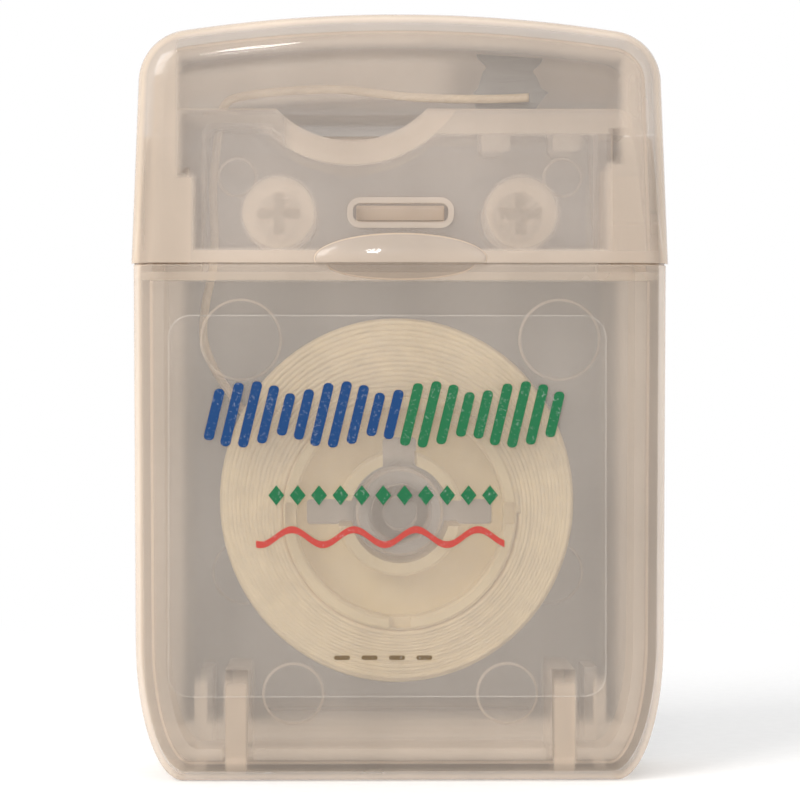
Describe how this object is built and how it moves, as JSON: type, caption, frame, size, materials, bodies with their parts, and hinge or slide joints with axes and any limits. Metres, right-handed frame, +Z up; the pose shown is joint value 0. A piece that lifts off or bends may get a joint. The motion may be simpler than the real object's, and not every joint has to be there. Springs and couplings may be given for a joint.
{
  "type": "dental floss dispenser",
  "caption": "Pocket dental floss dispenser: translucent two-half case with a hinged flip lid, steel cutter and a bobbin of floss turning on a post.",
  "frame": {"origin": "middle of the base, on the surface the case stands on", "axes": "+Z up along the case's height, -Y out of the front with the label, +X to the right seen from the front"},
  "size_m": [0.0376, 0.0154, 0.0536],
  "materials": {
    "case_plastic": "translucent natural polypropylene, semi-gloss",
    "lid_plastic": "translucent natural polypropylene, semi-gloss",
    "bobbin_plastic": "natural moulded plastic",
    "floss": "waxed cream filament",
    "cutter_steel": "plain sheet steel",
    "label_film": null
  },
  "bodies": {
    "case": {"rear_shell": "case_plastic", "front_cover": "case_plastic", "living_hinge": "case_plastic", "cutter_blade": "cutter_steel", "floss_strand": "floss", "front_label": "label_film"},
    "lid": {"lid": "lid_plastic"},
    "spool": {"bobbin": "bobbin_plastic", "floss_core": "floss", "floss_outer_turns": "floss"}
  },
  "joints": [
    {"name": "lid_hinge", "type": "hinge", "parent": "case", "child": "lid", "pos_m": [0, 0.0074, 0.0465], "axis": [-1, 0, 0], "range_deg": [0, 150]},
    {"name": "spool_spin", "type": "hinge", "parent": "case", "child": "spool", "pos_m": [0, 0, 0.01865], "axis": [0, 1, 0], "continuous": true}
  ]
}
